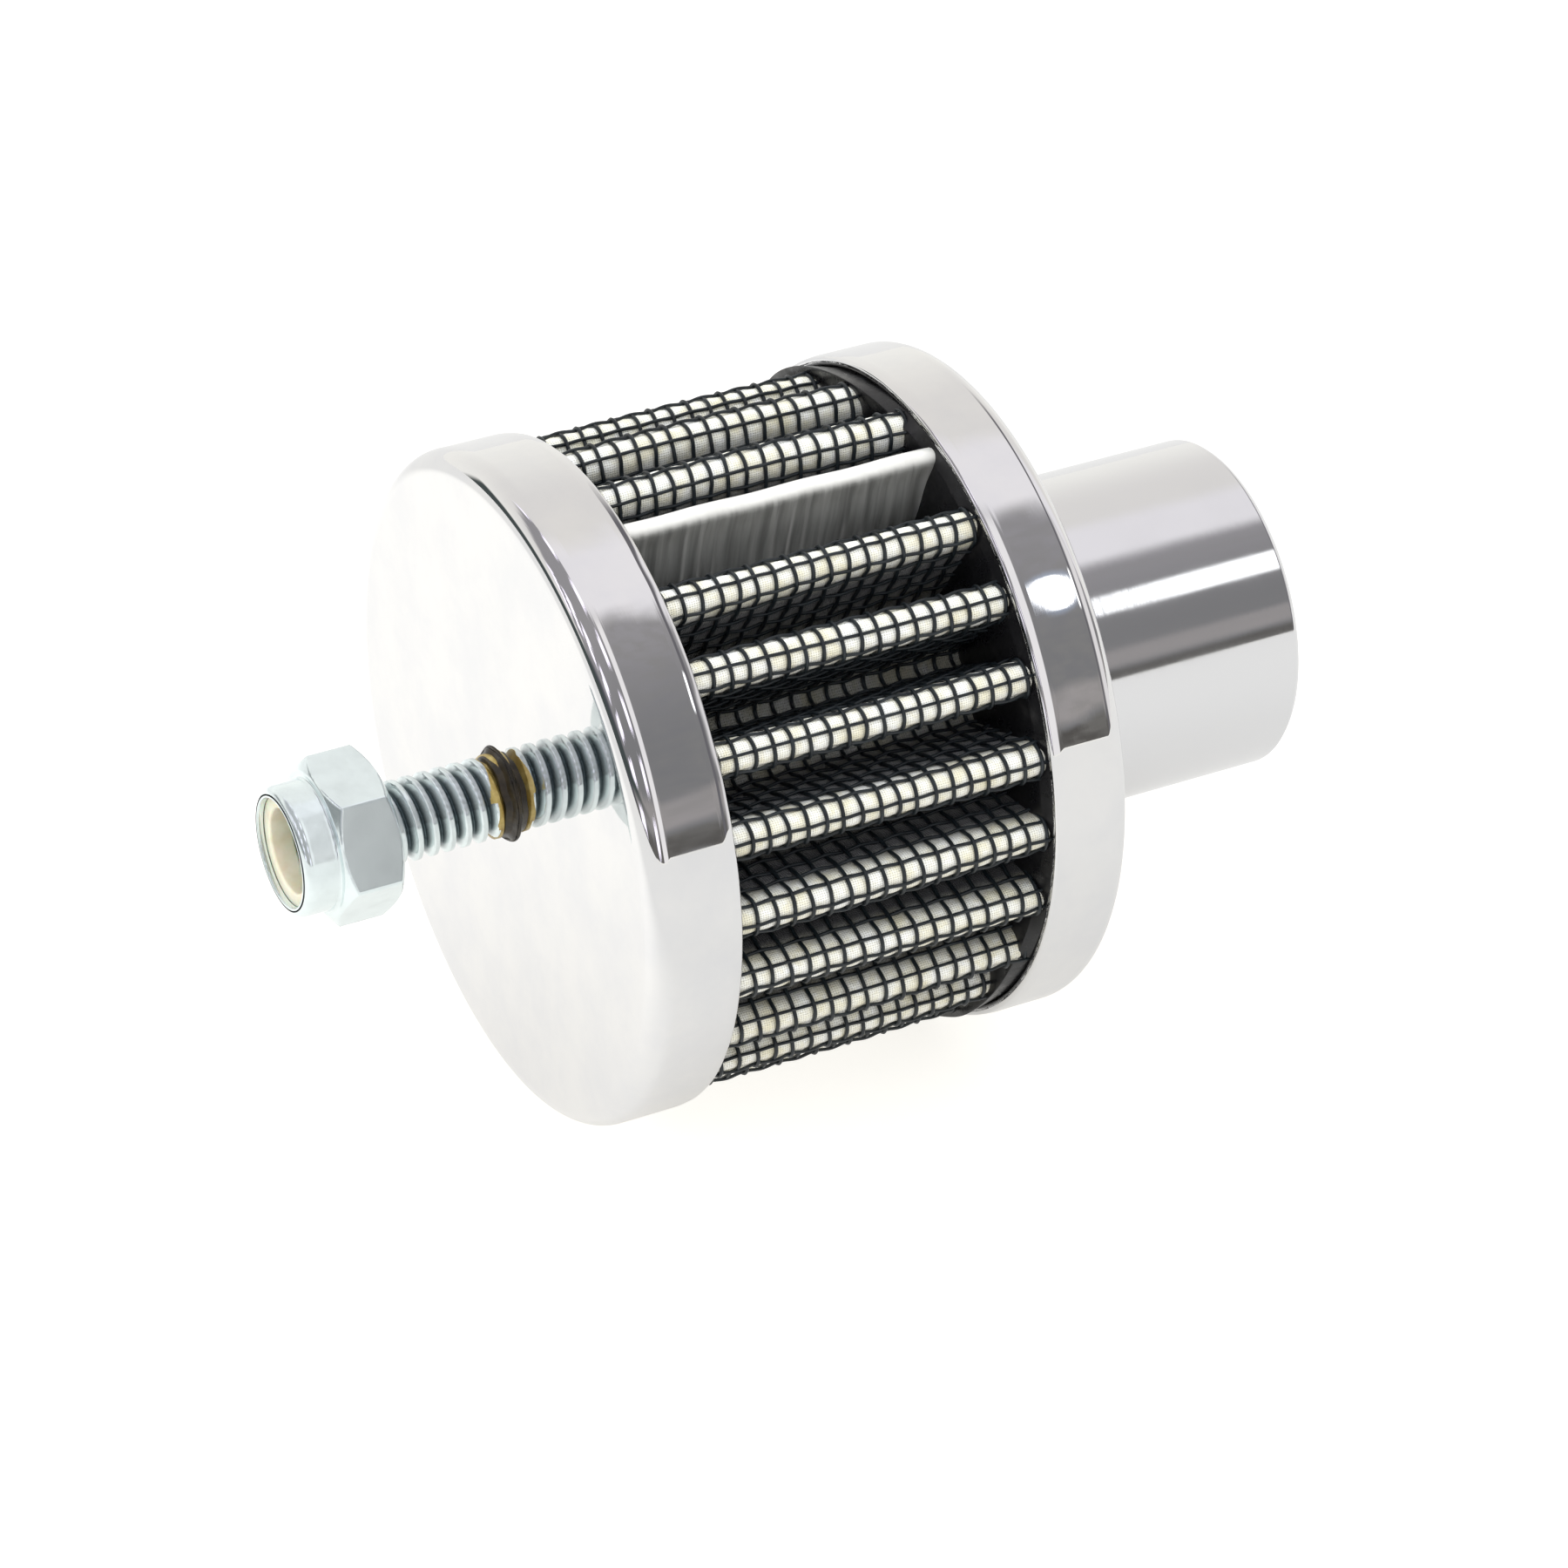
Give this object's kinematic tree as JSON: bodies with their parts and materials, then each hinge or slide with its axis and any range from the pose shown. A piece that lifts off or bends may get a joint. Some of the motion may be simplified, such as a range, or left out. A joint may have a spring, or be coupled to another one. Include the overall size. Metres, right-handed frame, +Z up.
{
  "type": "crankcase breather filter",
  "caption": "Round pleated gauze breather filter between two chromed end caps, with a hose neck at one end and a threaded stud with a lock nut at the other.",
  "frame": {"origin": "on the surface that the filter lies on, under the middle of its length, from the lock nut's outer end to the neck's mouth", "axes": "+X along the filter's axis from the stud to the neck, +Z up, the filter lying on the rims of its two caps"},
  "size_m": [0.0776, 0.0506, 0.0507],
  "materials": {
    "cap_chrome": "mirror chrome on drawn steel",
    "neck_aluminium": "polished",
    "zinc_steel": "bright zinc plate",
    "sealant": "cured amber-brown sealant",
    "nylon": "cream nylon",
    "coated_wire": "blue-black epoxy-coated wire cloth",
    "cotton_gauze": "off-white cotton gauze",
    "clip_metal": "mill finish, crimped",
    "potting": "black cast urethane"
  },
  "bodies": {
    "housing": {"front_cap": "cap_chrome", "rear_cap": "cap_chrome", "neck_tube": "neck_aluminium", "stud_bolt": "zinc_steel", "stud_washer": "zinc_steel", "sealant_bead": "sealant", "outer_screen": "coated_wire", "gauze_ply_1": "cotton_gauze", "gauze_ply_2": "cotton_gauze", "gauze_ply_3": "cotton_gauze", "gauze_ply_4": "cotton_gauze", "inner_screen": "coated_wire", "seam_clip": "clip_metal", "front_potting": "potting", "rear_potting": "potting"},
    "nut_travel_carrier": {"lock_nut_insert": "nylon"},
    "nut": {"lock_nut": "zinc_steel"}
  },
  "joints": [
    {"name": "nut_travel", "type": "slide", "parent": "housing", "child": "nut_travel_carrier", "axis": [1, 0, 0], "range_m": [-0.00508, 0.00857]},
    {"name": "nut_turn", "type": "hinge", "parent": "nut_travel_carrier", "child": "nut", "pos_m": [-0.03505, 0, 0.02535], "axis": [1, 0, 0], "range_deg": [-1440, 2430]}
  ],
  "couplings": [
    {"joint": "nut_turn", "follows": "nut_travel", "rad_per_m": 4947.4}
  ]
}
